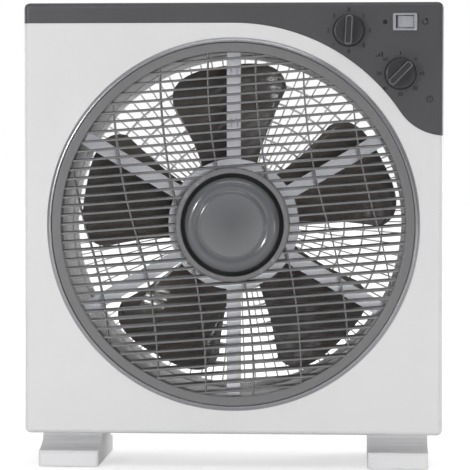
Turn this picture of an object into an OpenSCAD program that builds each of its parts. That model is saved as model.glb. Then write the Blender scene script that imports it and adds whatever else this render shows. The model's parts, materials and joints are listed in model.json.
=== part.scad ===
// Box fan with a motor-driven rotating louvre, three speeds and a timer.
// Millimetres, +Z up, the front faces -Y. The origin is on the floor, under the
// middle of the whole fan. Most modules are drawn around the hub axis with the
// front face at depth 0 and depth growing towards the back; place() moves them.

/* [Body] */
// Width of the body
body_w = 360; // [350:1:380]
// Height of the body without its feet
body_h = 371; // [365:1:380]
// Depth of the two housings together
body_d = 112; // [110:1:120]
// Radius of the body's corners, seen from the front
corner_r = 6; // [5:0.5:9]
// Rounding of the front edges
front_edge_r = 4.5; // [4:0.5:5.5]
// Rounding of the back edges
back_edge_r = 8; // [6:0.5:9]
// Wall thickness of the housings
wall = 2.6; // [2.4:0.1:2.8]
// Depth at which the front and rear housings meet
parting_d = 58; // [56:1:60]

/* [Feet] */
// Height of the feet under the body
foot_h = 29; // [27:1:32]
// Width of each foot
foot_w = 52; // [48:1:56]
// How far the feet reach past the front and back of the body
foot_past = 2; // [0:0.5:2]
// Distance from the middle of the fan to the middle of each foot
foot_x = 142; // [138:1:148]

/* [Louvre] */
// Outer radius of the silver trim ring
trim_r = 160.3; // [160:0.1:160.6]
// Outer radius of the turning louvre
louvre_r = 156; // [155.6:0.1:156.2]
// Clear inner radius of the louvre's rim
louvre_in_r = 148; // [147:0.5:149]
// Number of slats
slat_count = 38; // [30:2:38]
// Spacing of the slats
slat_pitch = 7.7; // [7.5:0.1:7.7]
// Thickness of a slat
slat_t = 1.5; // [1.2:0.1:2]
// Depth of a slat, front to back
slat_d = 12; // [10:0.5:12.5]
// Tilt of the slats, front edge down
slat_tilt = 5; // [0:1:8]
// Number of curved ribs across the slats
rib_count = 7; // [5:2:7]
// Spacing of the curved ribs
rib_pitch = 41.2; // [38:0.2:42]
// Shift of the ribs to the right
rib_shift = -2; // [-4:0.5:4]
// Turn of the louvre at rest, anticlockwise from the front
louvre_turn = 4.5; // [0:0.5:90]

/* [Impeller] */
// Tip radius of the blades
tip_r = 140; // [134:1:143]
// Number of blades
blade_count = 5; // [3:1:5]
// Turn of the impeller at rest, anticlockwise from the front
impeller_turn = 9; // [0:1:72]
// Blade angle at the root
root_pitch = 34; // [28:1:36]
// Blade angle at the tip
tip_pitch = 16; // [14:1:20]

/* [Controls] */
// Radius of the two knobs
knob_r = 12.9; // [11:0.1:13.5]
// How far the knobs and the hub cap stand out of the front face
stand_out = 16; // [15:0.5:17]
// Throw of the rocker switch
rocker_throw = 20; // [16:1:22]

/* [Hidden] */
$fn = 96;
hub_z = 209.7;                      // height of the hub axis over the floor
rear_out = 2;                       // the rear grille stands out of the back
gap = 0.3;                          // joint line between separate housings
fit = 0.05;                         // radial clearance of a running fit
overall_d = stand_out + body_d + rear_out;
face_y = -overall_d / 2 + stand_out;
low_z = foot_h - hub_z;             // underside of the body, from the hub axis
high_z = low_z + body_h;
mid_z = (low_z + high_z) / 2;
half_w = body_w / 2;
foot_l = body_d + 2 * foot_past;

// Control panel: a strip along the top that sweeps down round the louvre
panel_t = 2.5;
panel_r = 172.7;                    // arc concentric with the louvre
panel_end_z = 76.3;                 // where the sweep meets the right edge
sweep_x = half_w + 1;
sweep_r = (sweep_x^2 + panel_end_z^2 - panel_r^2) / (2 * (panel_r - panel_end_z));
sweep_z = panel_end_z + sweep_r;
sweep_turn = atan2(sweep_z, sweep_x);
sweep_meet_z = panel_r * sin(sweep_turn);
switch_d = panel_t + 2.2;           // front of the switches behind the panel
speed_pos = [99.2, 165.8];
speed_rest = 3;                     // turn of the speed knob at rest
timer_pos = [143.2, 129];
timer_rest = 45;                    // turn of the timer knob at rest, its bar at 0
neck_r = 4.5;                       // threaded necks of the two switches
knob_shaft_r = 3;
knob_d = -2;                        // back of the knobs
bezel = [20.6, 14.7];
rocker_pos = [147, 173.2];
rocker_hole = [19.2, 13];
rocker = [14.6, 10.4];
rocker_d = 2.5;                     // depth of the rocker's pivot
rocker_pin_r = 0.9;

// Air duct, front collar and rear opening
collar_r = trim_r;
collar_wall = 2.4;
ledge_d = 24;                       // the spider sits on this ledge
duct_r = 151;
spider_r = collar_r - 0.4;
spider_screw_r = 156;
spider_hub_r = 56.5;
spider_d0 = 15;
arm_w = 12;
arm_count = 6;
arm_slots = [88, 130];              // small slots in the upright arm
shaft_r = 4;
hub_r = 46;                         // impeller hub
hub_d0 = 60;
hub_d1 = 97;
blade_d = 79.5;                     // middle of the blades
grille_d0 = 105;
grille_rings = 5;
grille_ribs = 90;
grille_rib_t = 1.2;
grille_ring_t = 1.8;
grille_wall = 4;
grille_r = duct_r - 0.4;
flange_r = 158.4;                   // flange that screws the rear grille on
flange_screw_r = 154.8;
plate_r = 44;                       // motor plate of the rear grille
motor_r = 38;
stator_d0 = 77;
stator_d1 = 92;
rotor_r = 19.6;
shield_t = 3;
shield_d0 = 69.5;                   // front of the motor's front shield
shield_d1 = 98;                     // front of the motor's rear shield
bearing_r = 7.5;
mount_pcd_r = 30;                   // motor mounting screws
tie_r = 34;                         // motor tie screws
louvre_hub_r = 49;
louvre_hub_d = -8;                  // front of the louvre's hub
dish_r = 44;                        // dish in the louvre's hub, under the cap
dish_d0 = 2;
dish_d1 = 4.5;
dish_screw_r = 13;
drive_hub_r = 8;
cap_r = 40;
cap_roll = 7;                       // rounding of the cap's shoulder
louvre_shaft_r = 3.5;
gear_can_r = 25;                    // louvre motor
gear_ear = 22;                      // louvre motor's screws from its middle
boss_x = half_w - 14;               // screws that join the housings
boss_z = [low_z + 12, high_z - 14];
grip = [100, 21, 30];               // carrying grip in the back: width, height, depth
grip_z = high_z - 19;
gland_pos = [-150, low_z + 22];
capacitor = [30, 34, 18];
block_h = 14;                       // terminal block, under the top wall
block_pos = [-140, high_z - wall - block_h / 2];
pad_h = 1;                          // how far the pads lift the feet
foot_screw_y = [-0.22, 0.22];       // foot screws before and behind the body's middle

// ---------- helpers ----------

module place() translate([0, face_y, hub_z]) children();

// Extrudes a sketch seen from the front between two depths
module slab(d0, d1) translate([0, d1, 0]) rotate([90, 0, 0]) linear_extrude(d1 - d0) children();

// Turns a [radius, depth] sketch round the hub axis
module turned() rotate([-90, 0, 0]) rotate_extrude() children();

module tube(d0, d1, r_out, r_in) slab(d0, d1) difference() {
    circle(r_out);
    circle(r_in);
}

module rod(d0, d1, r) slab(d0, d1) circle(r);

// Puts a piece at [x, z] seen from the front
module at(p) translate([p[0], 0, p[1]]) children();

module rounded_rect(w, h, r) union() {
    square([w - 2 * r, h], center = true);
    square([w, h - 2 * r], center = true);
    for (x = [-1, 1], y = [-1, 1]) translate([x * (w / 2 - r), y * (h / 2 - r)]) circle(r);
}

// Side outline of the closed body: front edge radius e0, back edge radius e1
module edge_profile(d0, d1, h, e0, e1) union() {
    translate([d0 + e0, -h / 2]) square([d1 - d0 - e0 - e1, h]);
    translate([d0, e0 - h / 2]) square([e0 + 1, h - 2 * e0]);
    translate([d1 - e1 - 1, e1 - h / 2]) square([e1 + 1, h - 2 * e1]);
    for (s = [-1, 1]) {
        translate([d0 + e0, s * (h / 2 - e0)]) circle(e0);
        translate([d1 - e1, s * (h / 2 - e1)]) circle(e1);
    }
}

// The closed body, made smaller all round by inset
module body_block(inset) {
    w = body_w - 2 * inset;
    h = body_h - 2 * inset;
    e0 = front_edge_r - min(inset, front_edge_r - 1);
    e1 = back_edge_r - min(inset, back_edge_r - 1);
    translate([0, 0, mid_z]) intersection() {
        slab(inset, body_d - inset) rounded_rect(w, h, max(corner_r - inset, 1));
        rotate([90, 0, 90]) linear_extrude(body_w, center = true)
            edge_profile(inset, body_d - inset, h, e0, e1);
        rotate([0, 0, 90]) linear_extrude(body_h, center = true)
            edge_profile(inset, body_d - inset, w, e0, e1);
    }
}

// Front view of the control panel, made smaller along its lower edge by inset
module panel_sketch(inset) union() {
    translate([-sweep_x, panel_r + inset]) square([2 * sweep_x, high_z - panel_r + 1]);
    difference() {
        translate([0, sweep_meet_z - 0.01]) square([sweep_x, high_z - sweep_meet_z + 1]);
        circle(panel_r + inset);
    }
    intersection() {
        translate([sweep_x, sweep_z]) circle(sweep_r - inset);
        square([sweep_x, high_z]);
    }
}

module control_holes(extra) {
    translate(speed_pos) circle(neck_r + 0.1 + extra);
    translate(timer_pos) circle(neck_r + 0.1 + extra);
    translate(rocker_pos) square(rocker_hole, center = true);
}

module arms() for (i = [0:arm_count - 1]) rotate(90 + i * 360 / arm_count) children();

// Copies round the hub axis, count of them at radius r
module around(count, r, turn = 0) for (i = [0:count - 1])
    rotate([0, turn + i * 360 / count, 0]) at([0, r]) children();

// A pan-head screw along the depth axis: head from d_head, tip at d_tip
module screw(d_head, d_tip, r = 1.6, head_r = 3.2, head_h = 2) {
    s = sign(d_tip - d_head);
    difference() {
        union() {
            slab(min(d_head, d_tip), max(d_head, d_tip)) circle(r);
            slab(min(d_head, d_head + s * head_h), max(d_head, d_head + s * head_h))
                circle(head_r);
        }
        slab(min(d_head - s, d_head + s * head_h / 2), max(d_head - s, d_head + s * head_h / 2)) {
            square([3.6, 0.9], center = true);
            square([0.9, 3.6], center = true);
        }
    }
}

module foot_bosses(y) for (x = [-1, 1])
    translate([x * foot_x, body_d * y, low_z + wall - 0.5]) cylinder(h = 9, r = 5);

module foot_boss_holes(y) for (x = [-1, 1])
    translate([x * foot_x, body_d * y, low_z - 1]) cylinder(h = 9, r = 2.05);

module corner_bosses() for (x = [-1, 1], z = boss_z) at([x * boss_x, z]) children();

// ---------- housings ----------

module front_housing() color("gainsboro") place() {
    under = panel_t + 0.15;
    difference() {
        union() {
            difference() {
                union() {
                    difference() {
                        body_block(0);
                        slab(-1, body_d + 1) panel_sketch(0);
                    }
                    intersection() {
                        body_block(under);
                        slab(-1, body_d + 1) panel_sketch(-1);
                    }
                }
                body_block(under + 2);
                difference() {
                    body_block(wall);
                    slab(-1, body_d + 1) panel_sketch(-4);
                }
            }
            tube(wall - 1, ledge_d + 3, collar_r + collar_wall, collar_r - 1);
            tube(ledge_d, parting_d, duct_r + collar_wall, duct_r);
            tube(ledge_d, ledge_d + 3, collar_r + collar_wall, duct_r);
            corner_bosses() rod(under + 1, parting_d - 1, 4.5);
            for (x = [-1, 1]) at([x * boss_x, boss_z[0]]) rod(wall - 1, under + 2, 4.5);
            foot_bosses(0.5 + foot_screw_y[0]);
        }
        rod(-1, ledge_d, collar_r);
        slab(parting_d, body_d + 1) square(2 * body_w, center = true);
        corner_bosses() rod(parting_d - 20, parting_d + 1, 1.6);
        slab(-1, 8) control_holes(1);
        around(arm_count, spider_screw_r) rod(ledge_d - 4, ledge_d + 6, 1.6);
        foot_boss_holes(0.5 + foot_screw_y[0]);
    }
}

module rear_housing() color("whitesmoke") place() difference() {
    union() {
        intersection() {
            difference() {
                body_block(0);
                body_block(wall);
            }
            slab(parting_d + gap, body_d + 1) square(2 * body_w, center = true);
        }
        tube(parting_d + gap, body_d - 1, duct_r + collar_wall, duct_r);
        tube(body_d - 7, body_d - 1, flange_r + 1.2, duct_r);
        foot_bosses(0.5 + foot_screw_y[1]);
        corner_bosses() rod(parting_d + gap, body_d - 1, 5);
        at([0, grip_z]) slab(body_d - grip[2] - wall, body_d - 1)
            square([grip[0] + 2 * wall, grip[1] + 2 * wall], center = true);
    }
    rod(parting_d, body_d + 1, duct_r);
    rod(body_d - 2.2, body_d + 1, flange_r + 0.2);
    flange_screws() rod(body_d - 8, body_d, 1.5);
    at([0, grip_z]) slab(body_d - grip[2], body_d + 1) rounded_rect(grip[0], grip[1], 4);
    corner_bosses() rod(parting_d, body_d + 1, 2);
    corner_bosses() rod(body_d - 8, body_d + 1, 3.6);
    at(gland_pos) rod(body_d - 10, body_d + 1, 7.2);
    foot_boss_holes(0.5 + foot_screw_y[1]);
}

module control_panel() color("dimgray") place() difference() {
    intersection() {
        body_block(0);
        slab(-1, parting_d - gap) panel_sketch(0.15);
    }
    body_block(panel_t);
    slab(-1, 8) control_holes(0);
}

module trim_ring() color("silver") place() turned() polygon([
    [trim_r, ledge_d - 8.2], [trim_r, -0.3], [trim_r - 0.8, -1.4], [trim_r - 2.4, -2.4],
    [trim_r - 3.5, -2.6], [trim_r - 3.9, -2.3], [trim_r - 3.9, ledge_d - 8.2]]);

// ---------- louvre drive and spider ----------

module front_spider() color("white") place() difference() {
    union() {
        tube(ledge_d - 4, ledge_d, spider_r, duct_r - 1);
        slab(spider_d0 + 1, ledge_d) arms()
            translate([spider_hub_r - 3, -arm_w / 2]) square([duct_r - spider_hub_r + 4, arm_w]);
        rod(spider_d0, spider_d0 + 2.6, spider_hub_r);
        tube(spider_d0, spider_d0 + 18, spider_hub_r, spider_hub_r - 2.4);
        tube(spider_d0, spider_d0 + 8, gear_can_r + 5, gear_can_r + 1.6);
    }
    rod(spider_d0 - 1, spider_d0 + 4, 9);
    around(arm_count, spider_screw_r) {
        rod(ledge_d - 5, ledge_d + 1, 1.9);
        rod(ledge_d - 5, ledge_d - 2, 3.5);
    }
    gear_ears() rod(spider_d0 - 1, spider_d0 + 4, 1.9);
    for (z = arm_slots, x = [-1, 1]) at([x * 2.6, z])
        slab(spider_d0, ledge_d - 3) square([2.4, 7], center = true);
}

module gear_ears() around(2, gear_ear, 90) children();

module louvre_motor() color("goldenrod") place() difference() {
    union() {
        rod(spider_d0 + 5.2, spider_d0 + 21, gear_can_r);
        rod(spider_d0 + 2.6, spider_d0 + 5.2, 8);
        gear_ears() rod(spider_d0 + 2.6, spider_d0 + 6, 3.4);
    }
    rod(spider_d0 + 1, spider_d0 + 12, louvre_shaft_r + fit);
    gear_ears() rod(spider_d0 + 1, spider_d0 + 10.2, 1.6);
}

module louvre_motor_cover() color("white") place() difference() {
    rod(spider_d0 + 14, spider_d0 + 27, spider_hub_r - 2.7);
    rod(spider_d0 + 13, spider_d0 + 24.6, spider_hub_r - 5);
}

module louvre_motor_screws() color("silver") place() gear_ears()
    screw(spider_d0 - 2, spider_d0 + 10, 1.58, 3, 2);

module spider_screws() color("silver") place() around(arm_count, spider_screw_r)
    screw(ledge_d - 4, ledge_d + 5.8, 1.58, 3, 2);

// One curved rib: two arcs that meet at mid height
module rib_sketch() {
    lean = 10.6;                    // how far an arc leaves the upright line
    reach = 99;                     // height at which it leans most
    half_t = 0.65;
    arc_r = (lean^2 + reach^2) / (2 * lean);
    for (s = [0, 180]) rotate(s) intersection() {
        translate([arc_r - lean, reach]) difference() {
            circle(arc_r + half_t, $fn = 360);
            circle(arc_r - half_t, $fn = 360);
        }
        translate([-lean - 3, 0]) square([lean + 6, louvre_in_r + 2]);
    }
}

// Turns a piece of the louvre as the louvre rests
module louvre_at_rest() rotate([0, -louvre_turn, 0]) children();

module dish_screw_holes(d0, d1) around(3, dish_screw_r) rod(d0, d1, 1.6);

module slats() for (i = [0:slat_count - 1]) {
    v = (i - (slat_count - 1) / 2) * slat_pitch;
    half = sqrt((louvre_in_r + 2.5)^2 - v^2);
    translate([0, 0.5 + slat_d / 2, v]) rotate([slat_tilt, 0, 0])
        cube([2 * half, slat_d, slat_t], center = true);
}

module louvre_grille() color("gray") place() louvre_at_rest() union() {
    difference() {
        union() {
            slats();
            slab(2.5, 11) intersection() {
                for (i = [0:rib_count - 1])
                    translate([(i - (rib_count - 1) / 2) * rib_pitch + rib_shift, 0])
                        rib_sketch();
                circle(louvre_in_r + 2);
            }
        }
        rod(-9, 20, louvre_hub_r - 1);
    }
    turned() polygon([
        [louvre_r, -1.2], [louvre_r - 0.8, -1.9], [louvre_in_r + 0.9, -1.9],
        [louvre_in_r, -1], [louvre_in_r, 13.5], [louvre_r, 13.5]]);
    difference() {
        turned() polygon([
            [louvre_hub_r, 12.5], [louvre_hub_r, louvre_hub_d + 1.5],
            [louvre_hub_r - 1.5, louvre_hub_d], [dish_r + 0.6, louvre_hub_d],
            [dish_r, louvre_hub_d + 0.6], [dish_r, dish_d0], [0, dish_d0],
            [0, dish_d1], [dish_r + 1.6, dish_d1], [dish_r + 2.6, 12.5]]);
        rod(0, 6, drive_hub_r + fit);
        dish_screw_holes(1, 6);
    }
}

module louvre_drive_hub() color("gray") place() louvre_at_rest() difference() {
    union() {
        rod(-1, 13.5, drive_hub_r);
        tube(dish_d1, dish_d1 + 2, 18, drive_hub_r - 1);
    }
    rod(0.5, 14, louvre_shaft_r + fit);
    rod(-2, 1, 2);
    dish_screw_holes(4, 7);
}

module louvre_shaft() color("silver") place() difference() {
    rod(0.6, spider_d0 + 11, louvre_shaft_r);
    rod(0, 9, 1.6);
}

module louvre_hub_screws() color("silver") place() louvre_at_rest()
    around(3, dish_screw_r) screw(dish_d0 - 2, dish_d1 + 1.9, 1.55, 3, 2);

module louvre_screw() color("silver") place() screw(-3, 8, 1.55, 3.4, 2);

module hub_cap() color("slategray") place() difference() {
    turned() polygon(concat(
        [[cap_r, dish_d0], [cap_r, cap_roll + 2 - stand_out]],
        [for (a = [15:15:75]) [cap_r - cap_roll + cap_roll * cos(a),
                               cap_roll + 2 - stand_out - cap_roll * sin(a)]],
        [[cap_r - 8, 1.9 - stand_out], [29.8, 2 - stand_out], [29.4, 0.6 - stand_out],
         [27.8, -stand_out], [0, -stand_out]],
        [[0, 2.6 - stand_out], [29, 2.6 - stand_out], [30, 4.4 - stand_out],
         [cap_r - 8, 4.6 - stand_out], [cap_r - 2.4, 10 - stand_out], [cap_r - 2.4, dish_d0]]));
    slab(-1, 3) square([6, 100], center = true);
}

// ---------- impeller ----------

root_w = 21.8;                      // half of the blade's width at its root
wide_w = 50.6;                      // half of its width at its tip
flare = 1.44;                       // how late the blade widens
shoulder = 112;                     // radius at which the tip begins to round off
tip_power = 2.7;                    // squareness of the tip
sweep = 11;                         // how far the tip leans clockwise
function half_chord(s) = root_w + (wide_w - root_w) * s^flare;
function tip_edge(c) = shoulder + (tip_r - shoulder) * (1 - abs(c)^tip_power)^(1 / tip_power);
function root_edge(c) = sqrt((hub_r - 0.8)^2 - (c * root_w)^2);
function blade_pitch(s) = root_pitch + (tip_pitch - root_pitch) * s;
function blade_point(s, c, side) =
    let (x = c * half_chord(s) + sweep * s,
         r = root_edge(c) + (tip_edge(c) - root_edge(c)) * s,
         camber = 4 * (1 - c^2) * (0.5 + 0.5 * s),
         t = (2.4 - 0.8 * s) * (1 - 0.45 * abs(c)^3))
    [x, blade_d + x * tan(blade_pitch(s)) + camber - 2 + side * t / 2, r];

module blade(rows = 9, cols = 12) {
    n = (rows + 1) * (cols + 1);
    function id(k, i, j) = k * n + i * (cols + 1) + j;
    points = [for (k = [0, 1], i = [0:rows], j = [0:cols])
        blade_point(i / rows, 2 * j / cols - 1, k == 0 ? -1 : 1)];
    front = [for (i = [0:rows - 1], j = [0:cols - 1], h = [0, 1]) h == 0
        ? [id(0, i, j), id(0, i + 1, j), id(0, i + 1, j + 1)]
        : [id(0, i, j), id(0, i + 1, j + 1), id(0, i, j + 1)]];
    back = [for (i = [0:rows - 1], j = [0:cols - 1], h = [0, 1]) h == 0
        ? [id(1, i, j), id(1, i + 1, j + 1), id(1, i + 1, j)]
        : [id(1, i, j), id(1, i, j + 1), id(1, i + 1, j + 1)]];
    ends = [for (j = [0:cols - 1], e = [0, 1], h = [0, 1]) let (i = e * rows) e == 0
        ? (h == 0 ? [id(0, i, j), id(0, i, j + 1), id(1, i, j + 1)]
                  : [id(0, i, j), id(1, i, j + 1), id(1, i, j)])
        : (h == 0 ? [id(0, i, j), id(1, i, j + 1), id(0, i, j + 1)]
                  : [id(0, i, j), id(1, i, j), id(1, i, j + 1)])];
    sides = [for (i = [0:rows - 1], e = [0, 1], h = [0, 1]) let (j = e * cols) e == 0
        ? (h == 0 ? [id(0, i, j), id(1, i + 1, j), id(0, i + 1, j)]
                  : [id(0, i, j), id(1, i, j), id(1, i + 1, j)])
        : (h == 0 ? [id(0, i, j), id(0, i + 1, j), id(1, i + 1, j)]
                  : [id(0, i, j), id(1, i + 1, j), id(1, i, j)])];
    polyhedron(points, concat(front, back, ends, sides));
}

module impeller() color([0.25, 0.23, 0.22]) place() difference() {
    union() {
        for (i = [0:blade_count - 1])
            rotate([0, i * 360 / blade_count - impeller_turn, 0]) blade();
        turned() polygon([
            [0, hub_d0], [hub_r - 6, hub_d0], [hub_r - 2, hub_d0 + 1.5], [hub_r, hub_d0 + 6],
            [hub_r, hub_d1], [hub_r - 2.4, hub_d1], [hub_r - 2.4, hub_d0 + 7],
            [hub_r - 5, hub_d0 + 3.5], [9, hub_d0 + 3.5], [9, hub_d0 + 8], [0, hub_d0 + 8]]);
    }
    rod(hub_d0 - 1, hub_d0 + 9, shaft_r + fit);
    translate([0, hub_d0 + 8, 0]) cube([18.4, 4, 2.2], center = true);
}

module spinner_nut() color([0.25, 0.23, 0.22]) place() difference() {
    union() {
        rod(hub_d0 - 12, hub_d0, 13);
        rod(hub_d0 - 3, hub_d0, 16);
        around(12, 13) rod(hub_d0 - 11, hub_d0 - 2, 1.6);
    }
    rod(hub_d0 - 9, hub_d0 + 1, shaft_r + fit);
}

module motor_shaft() color("silver") place() union() {
    difference() {
        rod(hub_d0 - 8.5, 102, shaft_r);
        pin_rod();
    }
    tube(hub_d0 + 8.1, hub_d0 + 9.2, 6, shaft_r - 0.5);
}

// Cross pin that turns the impeller with the shaft
module pin_rod() translate([0, hub_d0 + 7, 0]) rotate([0, 90, 0])
    cylinder(h = 17.6, r = 1, center = true);

module drive_pin() color("silver") place() pin_rod();

module rotor_core() color("gray") place() difference() {
    union() {
        rod(stator_d0, stator_d1, rotor_r);
        rod(stator_d0 - 2.5, stator_d1 + 2.5, rotor_r - 2);
    }
    rod(stator_d0 - 3, stator_d1 + 3, shaft_r);
}

// ---------- motor ----------

module ties() around(4, tie_r, 45) children();

module mounts() around(3, mount_pcd_r) children();

module shield_holes() {
    around(6, 19) rod(shield_d0 - 1, shield_d1 + shield_t + 1, 4.5);
    ties() rod(shield_d0 - 1, shield_d1 + shield_t + 1, 1.8);
}

module motor_front_shield() color("silver") place() difference() {
    union() {
        rod(shield_d0, shield_d0 + shield_t, motor_r);
        tube(shield_d0, stator_d0, motor_r, motor_r - shield_t);
        rod(shield_d0, shield_d0 + shield_t + 1, bearing_r + 3);
        ties() rod(shield_d0 + 0.5, stator_d0, 3.6);
    }
    rod(shield_d0 - 1, stator_d0 + 1, bearing_r);
    shield_holes();
}

module motor_rear_shield() color("silver") place() difference() {
    union() {
        rod(shield_d1, shield_d1 + shield_t, motor_r);
        tube(stator_d1, shield_d1 + shield_t, motor_r, motor_r - shield_t);
        rod(shield_d1 - 2, grille_d0, bearing_r + 3);
        ties() rod(stator_d1, shield_d1 + 2, 3.6);
        mounts() rod(shield_d1, grille_d0, 4);
    }
    rod(stator_d1 - 1, shield_d1 + 5, bearing_r);
    shield_holes();
    mounts() rod(shield_d1 + 1.5, grille_d0 + 1, 1.6);
}

module stator_slots() for (i = [0:7]) rotate(22.5 + i * 45) children();

module stator_core() color("slategray") place() difference() {
    slab(stator_d0, stator_d1) difference() {
        circle(motor_r);
        circle(rotor_r + 0.4);
        stator_slots() {
            translate([19, -1.2]) square([5, 2.4]);
            translate([23, -3.4]) square([6.5, 6.8]);
        }
    }
    ties() rod(stator_d0 - 1, stator_d1 + 1, 1.8);
}

module stator_windings() color("chocolate") place() union() {
    slab(stator_d0 - 3, stator_d1 + 3) stator_slots() translate([23.4, -3]) square([5.6, 6]);
    tube(stator_d0 - 4, stator_d0 - 0.2, 29.8, 22.5);
    tube(stator_d1 + 0.2, stator_d1 + 4, 29.8, 22.5);
}

module front_bearing() color("peru") place()
    tube(shield_d0, shield_d0 + 4.5, bearing_r, shaft_r + fit);

module rear_bearing() color("peru") place()
    tube(shield_d1 - 1, shield_d1 + 4.2, bearing_r, shaft_r + fit);

module motor_tie_screws() color("silver") place() ties()
    screw(shield_d0 - 2.1, shield_d1 + 1, 1.7, 3, 2.1);

module motor_mount_screws() color("silver") place() mounts()
    screw(grille_d0 + 5.2, shield_d1 + 2, 1.58, 3.2, 2.2);

// ---------- rear grille ----------

module rear_grille() color("white") place() difference() {
    union() {
        tube(grille_d0, body_d, grille_r, grille_r - grille_wall);
        tube(body_d - 2, body_d + 0.5, flange_r, grille_r - grille_wall);
        rod(grille_d0, grille_d0 + 3, plate_r);
        tube(grille_d0, body_d, plate_r, plate_r - 2.5);
        slab(body_d - 3, body_d) for (i = [0:grille_ribs - 1]) rotate(i * 360 / grille_ribs)
            translate([plate_r - 1, -grille_rib_t / 2])
                square([grille_r - plate_r - 2, grille_rib_t]);
        for (i = [1:grille_rings]) {
            r = plate_r + i * (grille_r - grille_wall - plate_r) / (grille_rings + 1);
            tube(body_d - 2, body_d + rear_out, r + grille_ring_t / 2, r - grille_ring_t / 2);
        }
    }
    rod(grille_d0 - 1, grille_d0 + 4, bearing_r + 3.3);
    flange_screws() rod(body_d - 3, body_d + 1, 1.8);
    mounts() rod(grille_d0 - 1, grille_d0 + 4, 1.9);
}

module flange_screws() around(6, flange_screw_r, 30) children();

module grille_screws() color("silver") place() flange_screws()
    screw(body_d + rear_out, body_d - 6.5, 1.45, 3, 1.5);

// ---------- electrical parts ----------

module run_capacitor() color("ivory") place()
    translate([half_w - wall - capacitor[0] / 2, 81, 110]) cube(capacitor, center = true);

module terminal_block() color("white") place() at(block_pos) difference() {
    translate([0, 80, 0]) cube([38, 16, block_h], center = true);
    for (i = [-2:2]) at([i * 7.2, 0]) rod(70, 76, 2);
}

// Round switch body with a threaded neck through the panel
module round_switch(r, length) difference() {
    union() {
        rod(switch_d, switch_d + length, r);
        rod(-1.5, switch_d, neck_r);
    }
    rod(-2, switch_d + 14, knob_shaft_r + fit);
}

module speed_switch() color("ivory") place() at(speed_pos) round_switch(17, 16);
module timer_unit() color("whitesmoke") place() at(timer_pos) round_switch(20, 24);

module louvre_switch() color("silver") place() at(rocker_pos) difference() {
    union() {
        slab(-2, 0) rounded_rect(bezel[0], bezel[1], 1.5);
        slab(-0.5, 18) square([rocker_hole[0] - 0.3, rocker_hole[1] - 0.3], center = true);
    }
    slab(-3, 9) square([rocker[0] + 0.8, rocker[1] + 0.8], center = true);
    rocker_pins(rocker_pin_r + fit, 0.2);
}

module switch_nuts() color("silver") place() for (p = [speed_pos, timer_pos]) at(p)
    tube(-1.6, 0, 6.5, neck_r + 0.15);

module cord_gland() color("dimgray") place() at(gland_pos) difference() {
    union() {
        rod(body_d - 8, body_d, 7);
        rod(body_d, body_d + 1.9, 9);
    }
    rod(body_d - 9, body_d + 3, 3.6);
}

// ---------- controls ----------

// A round knob with a grip bar across it, drawn upright around its own axis
module knob() difference() {
    union() {
        rod(knob_d - 5, knob_d, knob_r);
        rod(knob_d - 7, knob_d - 5, knob_r - 1);
        slab(-stand_out, knob_d - 4) intersection() {
            square([6, 2 * knob_r], center = true);
            circle(knob_r - 0.4);
        }
    }
    rod(knob_d - 8, 0, knob_shaft_r + fit);
}

module knob_shaft() rod(knob_d - 7.8, switch_d + 13, knob_shaft_r);

module speed_knob() color("dimgray") place() at(speed_pos) rotate([0, speed_rest, 0]) knob();
module speed_shaft() color("silver") place() at(speed_pos) knob_shaft();
module timer_knob() color("dimgray") place() at(timer_pos) rotate([0, timer_rest, 0]) knob();
module timer_shaft() color("silver") place() at(timer_pos) knob_shaft();

module rocker_pins(r, longer) translate([0, rocker_d, 0])
    cylinder(h = rocker[1] + 1.6 + longer, r = r, center = true);

// The rocker at rest has its right end pressed in
module louvre_rocker() color("silver") place() at(rocker_pos) union() {
    reach = rocker[0] / 2 - 0.4;
    translate([0, rocker_d, -rocker[1] / 2]) rotate([0, 0, rocker_throw / 2])
        linear_extrude(rocker[1]) polygon([[-reach, 4], [-reach, -5.2], [0, -3.9],
            [reach, -5.2], [reach, 4]]);
    rocker_pins(rocker_pin_r, 0);
}

// ---------- feet and fasteners ----------

// Foot seen from the side: [depth from its middle, height over the floor]
module foot_profile() {
    toe_h = 12;                     // height of the upright toe
    toe_d = 2;                      // depth of the toe's flat top
    rise = foot_h - toe_h - 4;      // height of the curve from the toe to the neck
    run = 29;                       // depth of that curve
    neck = foot_l / 2 - toe_d - run;
    curve = [for (a = [0:15:90])
        [neck + run * (1 - sin(a)), toe_h + 2 + rise * (1 - cos(a))]];
    side = concat([[foot_l / 2, pad_h], [foot_l / 2, toe_h]], curve, [[neck, foot_h]]);
    polygon(concat(side, [for (i = [len(side) - 1:-1:0]) [-side[i][0], side[i][1]]]));
}

module foot(side) {
    translate([side * foot_x, face_y + body_d / 2, 0]) difference() {
        intersection() {
            translate([-foot_w / 2, 0, 0]) rotate([90, 0, 90]) linear_extrude(foot_w) foot_profile();
            linear_extrude(foot_h) rounded_rect(foot_w, foot_l, 3);
        }
        for (y = foot_screw_y) translate([0, body_d * y, 0]) {
            cylinder(h = foot_h + 1, r = 2.2);
            cylinder(h = 20, r = 4.5);
        }
    }
}

module foot_left() color("whitesmoke") foot(-1);
module foot_right() color("whitesmoke") foot(1);

module foot_pads() color("dimgray") for (x = [-1, 1], y = [-1, 1])
    translate([x * foot_x, face_y + body_d / 2 + y * (foot_l / 2 - 14), 0])
        cylinder(h = pad_h, r = 9);

module foot_screws() color("silver") for (x = [-1, 1], y = foot_screw_y)
    translate([x * foot_x, face_y + body_d * (0.5 + y), 18]) difference() {
        union() {
            cylinder(h = 16, r = 2);
            cylinder(h = 2, r = 4);
        }
        translate([-2, -0.5, -1]) cube([4, 1, 2]);
    }

module housing_screws() color("silver") place() corner_bosses()
    screw(body_d - 5.6, parting_d - 14, 1.58, 3.4, 2.4);

// ---------- assembly ----------

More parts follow.
